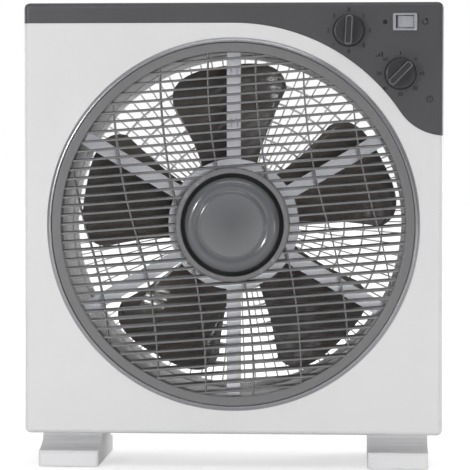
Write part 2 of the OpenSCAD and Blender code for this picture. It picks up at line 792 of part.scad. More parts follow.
front_housing();
rear_housing();
control_panel();
trim_ring();
front_spider();
louvre_motor();
louvre_motor_cover();
louvre_motor_screws();
spider_screws();
rear_grille();
grille_screws();
motor_front_shield();
motor_rear_shield();
stator_core();
stator_windings();
front_bearing();
rear_bearing();
motor_tie_screws();
motor_mount_screws();
run_capacitor();
terminal_block();
speed_switch();
timer_unit();
louvre_switch();
switch_nuts();
foot_left();
foot_right();
foot_pads();
foot_screws();
housing_screws();
cord_gland();
louvre_grille();
louvre_drive_hub();
louvre_shaft();
louvre_screw();
louvre_hub_screws();
hub_cap();
drive_pin();
impeller();
spinner_nut();
motor_shaft();
rotor_core();
speed_knob();
speed_shaft();
timer_knob();
timer_shaft();
louvre_rocker();
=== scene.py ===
"""Looks of a box fan with a turning louvre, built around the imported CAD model."""

import json
import math

import bpy
from mathutils import Euler, Matrix, Vector

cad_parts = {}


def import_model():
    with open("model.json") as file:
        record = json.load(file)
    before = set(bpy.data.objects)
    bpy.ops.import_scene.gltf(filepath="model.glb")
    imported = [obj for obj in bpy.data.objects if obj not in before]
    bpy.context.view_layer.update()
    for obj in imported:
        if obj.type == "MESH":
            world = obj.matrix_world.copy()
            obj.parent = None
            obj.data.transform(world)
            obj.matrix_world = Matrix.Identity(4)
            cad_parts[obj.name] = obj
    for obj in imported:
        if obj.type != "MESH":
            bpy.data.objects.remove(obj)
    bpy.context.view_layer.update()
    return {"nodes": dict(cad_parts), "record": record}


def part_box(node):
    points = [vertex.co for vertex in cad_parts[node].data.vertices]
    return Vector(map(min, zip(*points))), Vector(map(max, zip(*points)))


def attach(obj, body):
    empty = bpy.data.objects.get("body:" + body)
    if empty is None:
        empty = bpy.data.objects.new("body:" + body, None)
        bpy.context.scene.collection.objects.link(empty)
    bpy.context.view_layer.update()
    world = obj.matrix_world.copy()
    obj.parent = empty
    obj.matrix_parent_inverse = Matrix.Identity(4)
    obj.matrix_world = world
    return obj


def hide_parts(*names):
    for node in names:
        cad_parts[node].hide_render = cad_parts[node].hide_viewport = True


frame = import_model()
MM = 0.001


def ends(node):
    """(lowest, highest) corner of a CAD node in millimetres."""
    low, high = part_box(node)
    return low / MM, high / MM


def centre(node):
    low, high = ends(node)
    return (low + high) / 2


def radius(node):
    low, high = ends(node)
    return (high.x - low.x) / 2


HUB = centre("trim_ring")
FACE_Y = ends("front_housing")[0].y
SPEED = centre("speed_knob")
TIMER = centre("timer_knob")
ROCKER = centre("louvre_rocker")


def world(x, depth, z):
    """Point x right of the hub, depth behind the front face and z above the hub, in metres."""
    return Vector((x * MM, (FACE_Y + depth) * MM, (HUB.z + z) * MM))


# ---------- mesh helpers ----------


def add_object(name, points, faces, material, smooth_angle=35.0):
    """A mesh object from points in metres, shaded smooth up to smooth_angle."""
    mesh = bpy.data.meshes.new(name)
    mesh.from_pydata([tuple(p) for p in points], [], faces)
    mesh.validate()
    mesh.materials.append(material)
    obj = bpy.data.objects.new(name, mesh)
    bpy.context.scene.collection.objects.link(obj)
    shade(obj, smooth_angle)
    return obj


def shade(obj, smooth_angle):
    mesh = obj.data
    mesh.polygons.foreach_set("use_smooth", [True] * len(mesh.polygons))
    mesh.set_sharp_from_angle(angle=math.radians(smooth_angle))


class Shape:
    """Gathers points and faces of one piece."""

    def __init__(self):
        self.points = []
        self.faces = []

    def grid(self, rows, wrap_u=False, wrap_v=False):
        """Joins rows of points with quads."""
        base = len(self.points)
        count = len(rows[0])
        for row in rows:
            self.points.extend(row)
        for i in range(len(rows) - (0 if wrap_u else 1)):
            for j in range(count - (0 if wrap_v else 1)):
                a = base + i * count + j
                b = base + i * count + (j + 1) % count
                c = base + ((i + 1) % len(rows)) * count + (j + 1) % count
                d = base + ((i + 1) % len(rows)) * count + j
                self.faces.append((a, b, c, d))
        return base

    def cap(self, first, count, flip=False):
        """One flat face over count points from the first."""
        face = tuple(range(first, first + count))
        self.faces.append(face[::-1] if flip else face)

    def loft(self, rings):
        """Closed rings of points joined into a solid with flat ends."""
        count = len(rings[0])
        base = self.grid(rings, wrap_v=True)
        self.cap(base, count, flip=True)
        self.cap(base + count * (len(rings) - 1), count)

    def lathe(self, profile, segments):
        """Turns a closed outline of (radius, depth) points round the hub axis."""
        rows = []
        for k in range(segments):
            a = 2 * math.pi * k / segments
            rows.append([world(r * math.sin(a), d, r * math.cos(a)) for r, d in profile])
        self.grid(rows, wrap_u=True, wrap_v=True)


def round_corners(profile, cut, steps=4):
    """Replaces each corner of a closed outline with a short curve."""
    out = []
    count = len(profile)
    for i, p in enumerate(profile):
        a, b = profile[i - 1], profile[(i + 1) % count]
        la, lb = math.dist(p, a), math.dist(p, b)
        t = min(cut, 0.45 * la, 0.45 * lb)
        pa = tuple(p[k] + (a[k] - p[k]) * t / la for k in range(2))
        pb = tuple(p[k] + (b[k] - p[k]) * t / lb for k in range(2))
        for s in range(steps + 1):
            u = s / steps
            out.append(
                tuple(
                    (1 - u) ** 2 * pa[k] + 2 * u * (1 - u) * p[k] + u**2 * pb[k]
                    for k in range(2)
                )
            )
    return out


def rounded_box_section(width, height, r, steps=3):
    """Outline of a rectangle with rounded corners, centred on the origin."""
    out = []
    for sx, sy, start in ((1, 1, 0), (-1, 1, 90), (-1, -1, 180), (1, -1, 270)):
        for s in range(steps + 1):
            a = math.radians(start + 90 * s / steps)
            out.append(
                (
                    sx * (width / 2 - r) + r * math.cos(a),
                    sy * (height / 2 - r) + r * math.sin(a),
                )
            )
    return out


# ---------- material helpers ----------


class Nodes:
    """Short names for building a node tree."""

    def __init__(self, name, material=None):
        self.material = material or bpy.data.materials.new(name)
        self.material.use_nodes = True
        self.tree = self.material.node_tree
        self.shader = self.tree.nodes["Principled BSDF"]
        self.coords = self.add("ShaderNodeTexCoord").outputs["Object"]

    def add(self, kind, **values):
        node = self.tree.nodes.new(kind)
        for key, value in values.items():
            if key in node.inputs:
                node.inputs[key].default_value = value
            else:
                setattr(node, key, value)
        return node

    def link(self, a, b):
        self.tree.links.new(a, b)

    def noise(self, scale, detail, rough, stretch=None):
        source = self.coords
        if stretch:
            mapping = self.add("ShaderNodeMapping")
            mapping.inputs["Scale"].default_value = stretch
            self.link(source, mapping.inputs["Vector"])
            source = mapping.outputs["Vector"]
        node = self.add("ShaderNodeTexNoise")
        node.inputs["Scale"].default_value = scale
        node.inputs["Detail"].default_value = detail
        node.inputs["Roughness"].default_value = rough
        self.link(source, node.inputs["Vector"])
        return node.outputs["Fac"]

    def spread(self, source, low, high, from_low=0.3, from_high=0.7):
        """Maps from_low..from_high, by default a noise's usual range, to low..high."""
        node = self.add("ShaderNodeMapRange")
        node.inputs["From Min"].default_value = from_low
        node.inputs["From Max"].default_value = from_high
        node.inputs["To Min"].default_value = low
        node.inputs["To Max"].default_value = high
        self.link(source, node.inputs["Value"])
        return node.outputs["Result"]

    def math(self, kind, a, b):
        node = self.add("ShaderNodeMath", operation=kind)
        for socket, value in zip(node.inputs, (a, b)):
            if isinstance(value, (int, float)):
                socket.default_value = value
            else:
                self.link(value, socket)
        return node.outputs["Value"]

    def mix(self, factor, a, b):
        node = self.add("ShaderNodeMix", data_type="RGBA")
        for socket, value in ((node.inputs[6], a), (node.inputs[7], b)):
            if isinstance(value, tuple):
                socket.default_value = (*value, 1.0)
            else:
                self.link(value, socket)
        self.link(factor, node.inputs[0])
        return node.outputs[2]

    def reach(self, first, second, shift=0.0):
        """Distance from an axis, over two of the object's coordinates."""
        parts = self.add("ShaderNodeSeparateXYZ")
        self.link(self.coords, parts.inputs["Vector"])
        a = self.math("POWER", parts.outputs[first], 2.0)
        b = self.math("POWER", self.math("SUBTRACT", parts.outputs[second], shift), 2.0)
        return self.math("POWER", self.math("ADD", a, b), 0.5)

    def edges(self):
        """1 on outer edges and 0 elsewhere; there the colour is lightened as rubbed wear, and on the
        knobs also as painted highlight.
        """
        pointy = self.add("ShaderNodeNewGeometry").outputs["Pointiness"]
        return self.spread(pointy, 0.0, 1.0, 0.52, 0.62)

    def bump(self, height, strength, distance):
        node = self.add("ShaderNodeBump")
        node.inputs["Strength"].default_value = strength
        node.inputs["Distance"].default_value = distance
        self.link(height, node.inputs["Height"])
        self.link(node.outputs["Normal"], self.shader.inputs["Normal"])


def shaded(colour, factor):
    """The colour made lighter or darker."""
    return tuple(min(1.0, c * factor) for c in colour)


def moulded(name, colour, rough, grain=2600, bump=0.12, wear_and_sheen=0.25, coat=0.0, tone=0.035):
    """Moulded plastic: faint flow marks, fine grain, edges lightened as rubbed wear and painted
    highlight.
    """
    n = Nodes(name)
    clouds = n.noise(14, 4, 0.6)
    fine = n.noise(grain, 2, 0.5)
    base = n.mix(n.spread(clouds, 0, 1), shaded(colour, 1 - tone), shaded(colour, 1 + tone))
    # edges made lighter: rubbed wear, and painted highlight, strongest on the knobs
    if wear_and_sheen:
        rubbed = n.math("MULTIPLY", n.edges(), wear_and_sheen)
        base = n.mix(rubbed, base, tuple(0.5 * c + 0.5 for c in colour))
    n.link(base, n.shader.inputs["Base Color"])
    smudge = n.noise(55, 5, 0.65)
    roughness = n.math(
        "ADD",
        n.spread(smudge, rough - 0.05, rough + 0.06),
        n.spread(fine, -0.03, 0.03),
    )
    n.link(roughness, n.shader.inputs["Roughness"])
    n.shader.inputs["Coat Weight"].default_value = coat
    n.shader.inputs["Coat Roughness"].default_value = 0.08
    n.bump(fine, bump, 0.00012)
    return n.material


def louvre_plastic(name, colour):
    """The louvre's plastic, with painted shade: the groove round the cap is darkened to stand for
    its shadow.
    """
    material = moulded(name, colour, 0.36, 2200, 0.15, 0.2)
    n = Nodes(name, material)
    reach = n.reach("X", "Z", HUB.z * MM)
    groove_shade = n.spread(reach, 1.0, 0.0, GROOVE_R * MM, (GROOVE_R + 0.3) * MM)
    unshaded = n.shader.inputs["Base Color"].links[0].from_socket
    # painted shade: inside GROOVE_R the colour is mixed to near black, standing for the groove's
    # shadow
    n.link(n.mix(groove_shade, unshaded, (0.02, 0.02, 0.021)), n.shader.inputs["Base Color"])
    return material


def metal(name, colour, rough, stretch=(1, 1, 1), scale=900, bump=0.15):
    """Bare or plated metal with fine drawn lines and stains."""
    n = Nodes(name)
    lines = n.noise(scale, 4, 0.6, stretch)
    stains = n.noise(40, 4, 0.6)
    base = n.mix(n.spread(stains, 0, 1), shaded(colour, 0.86), shaded(colour, 1.08))
    rubbed = n.math("MULTIPLY", n.edges(), 0.5)
    n.link(n.mix(rubbed, base, shaded(colour, 1.35)), n.shader.inputs["Base Color"])
    n.shader.inputs["Metallic"].default_value = 1.0
    n.link(
        n.math(
            "ADD",
            n.spread(stains, rough - 0.05, rough + 0.08),
            n.spread(lines, -0.05, 0.05),
        ),
        n.shader.inputs["Roughness"],
    )
    n.bump(lines, bump, 0.0001)
    return n.material


def silver_paint(name):
    """Silver lacquer: metal flakes under a clear coat."""
    n = Nodes(name)
    flake = n.noise(5200, 1, 0.4)
    clouds = n.noise(10, 3, 0.5)
    tone = n.mix(n.spread(clouds, 0, 1), (0.31, 0.31, 0.33), (0.36, 0.36, 0.38))
    n.link(
        n.mix(n.spread(flake, 0, 1), tone, (0.41, 0.41, 0.43)),
        n.shader.inputs["Base Color"],
    )
    n.shader.inputs["Metallic"].default_value = 0.75
    n.link(n.spread(flake, 0.24, 0.36), n.shader.inputs["Roughness"])
    n.shader.inputs["Coat Weight"].default_value = 0.5
    n.shader.inputs["Coat Roughness"].default_value = 0.1
    n.bump(flake, 0.06, 0.00005)
    return n.material


def smoked(name):
    """Dark glossy blade plastic, a little brown where it is thin."""
    n = Nodes(name)
    clouds = n.noise(22, 4, 0.6)
    flow = n.noise(9, 3, 0.5, (1.0, 1.0, 4.0))
    base = n.mix(n.spread(clouds, 0, 1), (0.092, 0.085, 0.080), (0.118, 0.107, 0.100))
    n.link(
        n.mix(n.spread(flow, 0, 0.6), base, (0.165, 0.143, 0.124)),
        n.shader.inputs["Base Color"],
    )
    n.link(n.spread(clouds, 0.09, 0.16), n.shader.inputs["Roughness"])
    n.shader.inputs["Coat Weight"].default_value = 1.0
    n.shader.inputs["Coat Roughness"].default_value = 0.05
    n.bump(n.noise(60, 2, 0.5), 0.05, 0.0006)
    return n.material


def windings(name):
    """Enamelled copper wire, wound round the hub axis."""
    n = Nodes(name)
    wave = n.add("ShaderNodeTexWave", wave_type="RINGS", rings_direction="Y")
    wave.inputs["Scale"].default_value = 420
    wave.inputs["Distortion"].default_value = 1.2
    shift = n.add("ShaderNodeMapping")
    shift.inputs["Location"].default_value = (0, 0, -HUB.z * MM)
    n.link(n.coords, shift.inputs["Vector"])
    n.link(shift.outputs["Vector"], wave.inputs["Vector"])
    n.link(
        n.mix(wave.outputs["Fac"], (0.30, 0.10, 0.035), (0.72, 0.33, 0.14)),
        n.shader.inputs["Base Color"],
    )
    n.shader.inputs["Metallic"].default_value = 0.8
    n.shader.inputs["Roughness"].default_value = 0.32
    n.shader.inputs["Coat Weight"].default_value = 0.6
    n.bump(wave.outputs["Fac"], 0.6, 0.0003)
    return n.material


def laminations(name):
    """Stacked core sheets, seen as lines across the depth."""
    n = Nodes(name)
    wave = n.add("ShaderNodeTexWave", wave_type="BANDS", bands_direction="Y")
    wave.inputs["Scale"].default_value = 320
    n.link(n.coords, wave.inputs["Vector"])
    stains = n.noise(50, 4, 0.6)
    base = n.mix(n.spread(stains, 0, 1), (0.20, 0.21, 0.23), (0.33, 0.34, 0.36))
    n.link(
        n.mix(wave.outputs["Fac"], (0.10, 0.10, 0.11), base),
        n.shader.inputs["Base Color"],
    )
    n.shader.inputs["Metallic"].default_value = 0.9
    n.link(n.spread(stains, 0.35, 0.5), n.shader.inputs["Roughness"])
    n.bump(wave.outputs["Fac"], 0.4, 0.0002)
    return n.material


def rubber(name):
    """Dusty grey rubber with a gritty surface."""
    n = Nodes(name)
    grit = n.noise(1500, 3, 0.6)
    dust = n.noise(70, 4, 0.7)
    n.link(
        n.mix(n.spread(dust, 0, 0.5), (0.40, 0.40, 0.41), (0.52, 0.52, 0.52)),
        n.shader.inputs["Base Color"],
    )
    n.link(n.spread(grit, 0.72, 0.9), n.shader.inputs["Roughness"])
    n.bump(grit, 0.5, 0.0003)
    return n.material


def ink_and_shade(name, colour):
    """Printed ink, thin and uneven at its edges; also used for painted shadow."""
    n = Nodes(name)
    speck = n.noise(3000, 3, 0.6)
    n.link(
        n.mix(n.spread(speck, 0, 1), shaded(colour, 0.8), shaded(colour, 1.2)),
        n.shader.inputs["Base Color"],
    )
    n.link(n.spread(speck, 0.45, 0.6), n.shader.inputs["Roughness"])
    n.bump(speck, 0.1, 0.00005)
    return n.material


def make_materials():
    """Finishes by the record's slot names."""
    white = (0.62, 0.62, 0.625)
    return {
        "body_white": moulded("body_white", white, 0.38, wear_and_sheen=0, coat=0.05, tone=0.012),
        "rear_white": moulded("rear_white", (0.72, 0.72, 0.725), 0.5, 1700, 0.3, 0, tone=0.012),
        "panel_grey": moulded("panel_grey", (0.065, 0.065, 0.071), 0.42, 2200, 0.2, 0),
        "trim_silver": silver_paint("trim_silver"),
        "louvre_grey": louvre_plastic("louvre_grey", (0.155, 0.155, 0.159)),
        "cap_grey": moulded("cap_grey", (0.094, 0.098, 0.105), 0.2, 3200, 0.03, 0.1, 0.6),
        "spider_white": moulded("spider_white", (0.88, 0.89, 0.94), 0.3, wear_and_sheen=0, tone=0.012),
        "grille_white": moulded("grille_white", (0.92, 0.92, 0.93), 0.35, wear_and_sheen=0, tone=0.012),
        "blade_smoke": smoked("blade_smoke"),
        # the knobs' edges are lightened strongly, as painted highlight on top of wear
        "knob_grey": moulded("knob_grey", (0.036, 0.036, 0.039), 0.36, 2600, 0.15, 0.5),
        "switch_silver": moulded("switch_silver", (0.30, 0.305, 0.33), 0.28, 3000, 0.08, 0, 0.3),
        "foot_white": moulded("foot_white", (0.66, 0.66, 0.67), 0.42, 1900, 0.2, 0, tone=0.012),
        "pad_rubber": rubber("pad_rubber"),
        "screw_steel": metal("screw_steel", (0.58, 0.58, 0.60), 0.3, (1, 6, 1)),
        "motor_aluminium": metal("motor_aluminium", (0.62, 0.63, 0.65), 0.42, scale=500),
        "core_steel": laminations("core_steel"),
        "copper_wire": windings("copper_wire"),
        "bush_bronze": metal("bush_bronze", (0.56, 0.38, 0.20), 0.45, scale=1800, bump=0.4),
        "gear_can": metal("gear_can", (0.60, 0.57, 0.46), 0.3, (1, 1, 8)),
        "electric_cream": moulded("electric_cream", (0.60, 0.57, 0.48), 0.45, wear_and_sheen=0),
        "gland_black": moulded("gland_black", (0.035, 0.035, 0.038), 0.5, 1600, 0.3, 0),
    }


def paint_cad(materials):
    """Gives every CAD node its slot's finish."""
    for part in frame["record"]["subparts"]:
        mesh = frame["nodes"][part["node"]].data
        mesh.materials.clear()
        mesh.materials.append(materials[part["material_slot"]])


def soften(width, *nodes, sharp=8):
    """Rounds the sharp edges of CAD nodes a little; edges above sharp degrees stay crisp."""
    for node in nodes:
        obj = frame["nodes"][node]
        weld = obj.modifiers.new("weld", "WELD")
        weld.merge_threshold = 0.01 * MM
        bevel = obj.modifiers.new("bevel", "BEVEL")
        bevel.width = width * MM
        bevel.segments = 2
        bevel.limit_method = "ANGLE"
        bevel.angle_limit = math.radians(35)
        split = obj.modifiers.new("split", "EDGE_SPLIT")
        split.split_angle = math.radians(sharp)


# ---------- pieces ----------


def finish_piece(obj, body, slot, *nodes):
    """Ties a piece to its body, in place of the CAD nodes."""
    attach(obj, body)
    if nodes:
        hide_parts(*nodes)
    return obj


TURNED_SIDES = 256  # sides of a full turn of the large round pieces


def trim_ring(materials):
    """Silver rim that slopes outwards, rounded at its inner lip."""
    r = radius("trim_ring")
    low = ends("trim_ring")[0].y - FACE_Y
    high = ends("trim_ring")[1].y - FACE_Y
    profile = [
        (r, high),
        (r, -0.3),
        (r - 0.7, low * 0.5),
        (r - 2.4, low * 0.92),
        (r - 3.4, low),
        (r - 3.9, low * 0.85),
        (r - 3.9, high),
    ]
    shape = Shape()
    shape.lathe(round_corners(profile, 0.35), TURNED_SIDES)
    obj = add_object("trim_ring_round", shape.points, shape.faces, materials["trim_silver"])
    finish_piece(obj, "body", "trim_silver", "trim_ring")


CAP_EXTRA = 0.8  # the photo's cap reaches a little further than the CAD's
CAP_SHOULDER = 8.0  # radius of the rounded outer edge
CAP_STEP = 10.8  # from the outer edge to the step round the flat middle


def hub_cap(materials):
    """Domed cap with a smooth step round its flat middle."""
    r = radius("hub_cap") + CAP_EXTRA
    front = ends("hub_cap")[0].y - FACE_Y
    back = ends("hub_cap")[1].y - FACE_Y
    profile = [(r, back), (r, front + CAP_SHOULDER + 1)]
    for a in range(0, 91, 9):
        t = math.radians(a)
        across = r - CAP_SHOULDER + CAP_SHOULDER * math.cos(t)
        profile.append((across, front + 0.9 + CAP_SHOULDER * (1 - math.sin(t))))
    inner = r - CAP_STEP
    profile += [
        (inner + 0.9, front + 1.1),
        (inner + 0.2, front + 1.6),
        (inner - 0.4, front + 1.5),
        (inner - 0.9, front + 1.0),
        (inner - 1.7, front + 0.5),
        (inner - 2.7, front + 0.15),
        (inner - 4.0, front),
        (0.01, front),
        (0.01, front + 2.6),
        (inner, front + 4),
        (r - 3.5, front + 10),
        (r - 2.4, back),
    ]
    shape = Shape()
    shape.lathe(profile, TURNED_SIDES)
    obj = add_object("hub_cap_dome", shape.points, shape.faces, materials["cap_grey"], 50)
    finish_piece(obj, "louvre", "cap_grey", "hub_cap")


# Louvre, in millimetres and degrees
LOUVRE_TURN = 4.5  # how far it is turned at rest
LOUVRE_RIM = 8.0  # width of the outer ring
LOUVRE_HUB_R = 49.0
RIM_FRONT = -1.9  # depth of the ring's front, ahead of the housing's face
RIM_BACK = 13.5
GROOVE_R = 43.8  # inside this radius the groove round the cap is painted dark, as painted shade
SLATS = 38
SLAT_PITCH = 7.7
SLAT_FRONT = 0.5  # depth of the slats' front edges
SLAT_DEPTH = 12.0
SLAT_THICK = 1.7  # a little more than in the CAD, as in the photo
SLAT_TILT = 5.0
RIBS = 7
RIB_PITCH = 41.2
RIB_OFFSET = -2.0  # the middle rib from the hub's axis
RIB_LEAN = 10.6  # how far each arc bulges sideways
RIB_REACH = 99.0  # height of the bulge's widest point
RIB_THICK = 1.3
RIB_DEPTH = 8.6
RIB_MIDDLE = 6.75  # depth of the ribs' middle


def louvre_point(x, depth, v):
    """Point of the louvre's own frame, turned as the louvre rests."""
    t = math.radians(LOUVRE_TURN)
    return world(x * math.cos(t) - v * math.sin(t), depth, x * math.sin(t) + v * math.cos(t))


def louvre_slats(shape, inner, outer):
    """Level slats from side to side, broken where the hub is."""
    section = rounded_box_section(SLAT_DEPTH, SLAT_THICK, 0.55)
    tilt = math.radians(SLAT_TILT)
    for i in range(SLATS):
        v = (i - (SLATS - 1) / 2) * SLAT_PITCH
        half = math.sqrt(outer**2 - v**2)
        start = math.sqrt(inner**2 - v**2) if abs(v) < inner else 0.0
        spans = [(-half, -start), (start, half)] if start else [(-half, half)]
        for x0, x1 in spans:
            rings = []
            steps = max(2, int((x1 - x0) / 12))
            for k in range(steps + 1):
                x = x0 + (x1 - x0) * k / steps
                ring = []
                for d, h in section:
                    depth = SLAT_FRONT + SLAT_DEPTH / 2 + d * math.cos(tilt) - h * math.sin(tilt)
                    ring.append(louvre_point(x, depth, v + d * math.sin(tilt) + h * math.cos(tilt)))
                rings.append(ring)
            shape.loft(rings)


def louvre_ribs(shape, inner, outer):
    """Curved ribs: two arcs each, meeting at mid height."""
    arc = (RIB_LEAN**2 + RIB_REACH**2) / (2 * RIB_LEAN)
    section = rounded_box_section(RIB_THICK, RIB_DEPTH, 0.45)
    for i in range(RIBS):
        x0 = (i - (RIBS - 1) / 2) * RIB_PITCH + RIB_OFFSET
        path = []
        for k in range(-160, 161, 4):
            v = abs(k)
            x = arc - RIB_LEAN - math.sqrt(max(arc**2 - (v - RIB_REACH) ** 2, 0))
            x = x0 + (x if k >= 0 else -x)
            if inner - 0.5 < math.hypot(x, k) < outer:
                path.append((x, k))
            else:
                path.append(None)
        run = []
        for p in path + [None]:
            if p is not None:
                run.append(p)
                continue
            if len(run) > 1:
                shape.loft(rib_rings(run, section))
            run = []


def rib_rings(run, section):
    """The rib's section, set square to its path at each point of a run."""
    rings = []
    for k, (x, v) in enumerate(run):
        a = run[max(k - 1, 0)]
        b = run[min(k + 1, len(run) - 1)]
        length = math.dist(a, b)
        side = ((b[1] - a[1]) / length, -(b[0] - a[0]) / length)
        rings.append(
            [louvre_point(x + s * side[0], RIB_MIDDLE + d, v + s * side[1]) for s, d in section]
        )
    return rings


def louvre_grille(materials):
    """Rim, slats, ribs and hub dish of the turning grille."""
    r = radius("louvre_grille")
    low = ends("louvre_grille")[0].y - FACE_Y
    shape = Shape()
    rim = [
        (r, -1.5),
        (r - 0.5, RIM_FRONT),
        (r - LOUVRE_RIM + 0.8, RIM_FRONT),
        (r - LOUVRE_RIM, -1.2),
        (r - LOUVRE_RIM, RIM_BACK),
        (r, RIM_BACK),
    ]
    shape.lathe(round_corners(rim, 0.4), TURNED_SIDES)
    # slats and ribs run a little way into the hub and the ring
    inner, outer = LOUVRE_HUB_R - 1.5, r - LOUVRE_RIM + 2.0
    louvre_slats(shape, inner, outer)
    louvre_ribs(shape, inner, outer)
    dish = [
        (LOUVRE_HUB_R, 12.5),
        (LOUVRE_HUB_R, low + 1.6),
        (LOUVRE_HUB_R - 1.5, low),
        (44.6, low),
        (44.0, low + 0.8),
        (44.0, 2.0),
        (8.1, 2.0),
        (8.1, 4.5),
        (45.6, 4.5),
        (46.6, 12.5),
    ]
    shape.lathe(round_corners(dish, 0.6), TURNED_SIDES)
    obj = add_object("louvre_slatted", shape.points, shape.faces, materials["louvre_grey"])
    finish_piece(obj, "louvre", "louvre_grey", "louvre_grille")


# Impeller, in millimetres and degrees
BLADES = 5
BLADE_TURN = -9.0  # of the first blade from straight up, at rest
BLADE_DEPTH = 79.5
HUB_R = 46.0
TIP_R = 140.0
SHOULDER_R = 112.0  # where the blade's sides turn into the rounded tip
TIP_POWER = 2.7  # roundness of the tip, as a superellipse's power
ROOT_HALF = 21.8  # half widths of the blade at the root and the tip
TIP_HALF = 50.6
FLARE = 1.44  # how late the blade widens
SWEEP = 11.0
ROOT_PITCH = 34.0
TIP_PITCH = 16.0


def blade_surface(s, c, side):
    """Point of a blade: s from root to tip, c across the chord."""
    x = c * (ROOT_HALF + (TIP_HALF - ROOT_HALF) * s**FLARE) + SWEEP * s
    rounding = (1 - abs(c) ** TIP_POWER) ** (1 / TIP_POWER)
    r_tip = SHOULDER_R + (TIP_R - SHOULDER_R) * rounding
    r_root = math.sqrt((HUB_R - 0.8) ** 2 - (c * ROOT_HALF) ** 2)
    r = r_root + (r_tip - r_root) * s
    pitch = math.radians(ROOT_PITCH + (TIP_PITCH - ROOT_PITCH) * s)
    camber = 4 * (1 - c**2) * (0.5 + 0.5 * s)
    # thickest at the root, and thin towards every free edge
    edge = max(abs(c), s**3)
    thick = (2.4 - 0.8 * s) * math.sqrt(max(1 - edge**12, 0.02))
    return x, BLADE_DEPTH + x * math.tan(pitch) + camber - 2 + side * thick / 2, r


def blade_rings(turn, rows, cols):
    """Closed cross-sections of one blade from the root to the tip."""
    t = math.radians(turn)
    rings = []
    for i in range(rows + 1):
        s = math.sin(math.pi / 2 * i / rows)
        chord = [math.sin(math.pi / 2 * (2 * j / cols - 1)) for j in range(cols + 1)]
        front = [blade_surface(s, c, -1) for c in chord]
        back = [blade_surface(s, c, 1) for c in reversed(chord)]
        ring = []
        for x, depth, r in front + back:
            across, up = x * math.cos(t) + r * math.sin(t), r * math.cos(t) - x * math.sin(t)
            ring.append(world(across, depth, up))
        rings.append(ring)
    return rings


def impeller(materials):
    """Five pitched blades on a cup-shaped hub."""
    shape = Shape()
    for i in range(BLADES):
        shape.loft(blade_rings(BLADE_TURN + 360 / BLADES * i, 26, 30))
    hub = [
        (4.1, 60.0),
        (40.0, 60.0),
        (44.0, 61.5),
        (HUB_R, 66.0),
        (HUB_R, 97.0),
        (43.6, 97.0),
        (43.6, 67.0),
        (41.0, 63.5),
        (9.0, 63.5),
        (9.0, 68.0),
        (4.1, 68.0),
    ]
    shape.lathe(round_corners(hub, 0.8), 160)
    obj = add_object("impeller_blades", shape.points, shape.faces, materials["blade_smoke"], 40)
    finish_piece(obj, "impeller", "blade_smoke", "impeller")


def knob(name, place, turn, materials, body, node):
    """Round dial knob with a dished grip bar across it, turned clockwise by turn degrees."""
    r = radius_of_disc(node)
    front = ends(node)[0].y - FACE_Y
    t = math.radians(turn)
    shape = Shape()

    def at(x, depth, v):
        """Point of the turned knob: x across the bar, v along it."""
        dx = x * math.cos(t) + v * math.sin(t)
        dz = v * math.cos(t) - x * math.sin(t)
        return Vector((place.x * MM + dx * MM, (FACE_Y + depth) * MM, place.z * MM + dz * MM))

    disc = [(r, -2.0), (r, -6.2), (r - 0.5, -7.2), (r - 1.6, -7.6), (0.01, -7.9), (0.01, -2.0)]
    rows = []
    for k in range(96):
        a = 2 * math.pi * k / 96
        rows.append([at(q * math.sin(a), d, q * math.cos(a)) for q, d in round_corners(disc, 0.4)])
    shape.grid(rows, wrap_u=True, wrap_v=True)
    # grip bar: half width, half length and depth, from its foot to the dished top
    levels = [
        (3.3, r - 0.3, -6.5),
        (3.1, r - 0.5, front + 1.2),
        (2.9, r - 0.7, front + 0.4),
        (2.5, r - 1.1, front),
        (2.1, r - 1.5, front + 0.1),
        (1.8, r - 1.8, front + 0.6),
        (1.6, r - 2.0, front + 0.9),
    ]
    rings = []
    for half, reach, depth in levels:
        ring = []
        for x, v in rounded_box_section(2 * half, 2 * reach, half * 0.85, 6):
            ring.append(at(x, depth, v))
        rings.append(ring)
    shape.loft(rings)
    obj = add_object(name, shape.points, shape.faces, materials["knob_grey"], 40)
    finish_piece(obj, body, "knob_grey", node)


def radius_of_disc(node):
    """Radius of the knob's disc, which is its widest part."""
    low, high = ends(node)
    return (high.z - low.z) / 2


def louvre_rocker(materials):
    """Rocker with a shaped face, its right end pressed in."""
    width, height = 13.8, 10.2
    tilt = math.radians(-10)
    pivot = 2.5  # depth of the rocking axis
    back = 4.0  # depth of the rocker's back, from that axis
    rows = []
    steps = 28
    for i in range(steps + 1):
        u = 2 * i / steps - 1
        x = u * width / 2
        edge = min(1.0, (1 - abs(u)) * 9)
        face = -3.9 - 1.3 * u * u + 1.1 * (1 - math.sqrt(max(1 - (1 - edge) ** 2, 0)))
        half = [(0.8, face), (0.94, face + 0.1), (1, face + 0.5), (1, back)]
        section = [(-a, d) for a, d in reversed(half)] + half
        ring = []
        for a, d in section:
            across = x * math.cos(tilt) + d * math.sin(tilt)
            depth = pivot + d * math.cos(tilt) - x * math.sin(tilt)
            point = (ROCKER.x + across, FACE_Y + depth, ROCKER.z + a * height / 2)
            ring.append(Vector(point) * MM)
        rows.append(ring)
    shape = Shape()
    shape.loft(rows)
    obj = add_object("rocker_face", shape.points, shape.faces, materials["switch_silver"], 40)
    finish_piece(obj, "louvre_rocker", "switch_silver", "louvre_rocker")


# ---------- dial marks ----------


PRINT = 0.05  # thickness of the printed marks
SPEED_MARKS = 17.8  # radius of the numbers round the speed knob
TIMER_MARKS = (18.2, 17.6)  # the same round the timer knob, across and up
SIGN_SIDE = 17  # from the rocker's middle to each sign beside it
SIGN_DROP = 21.5  # from a knob down to its sign


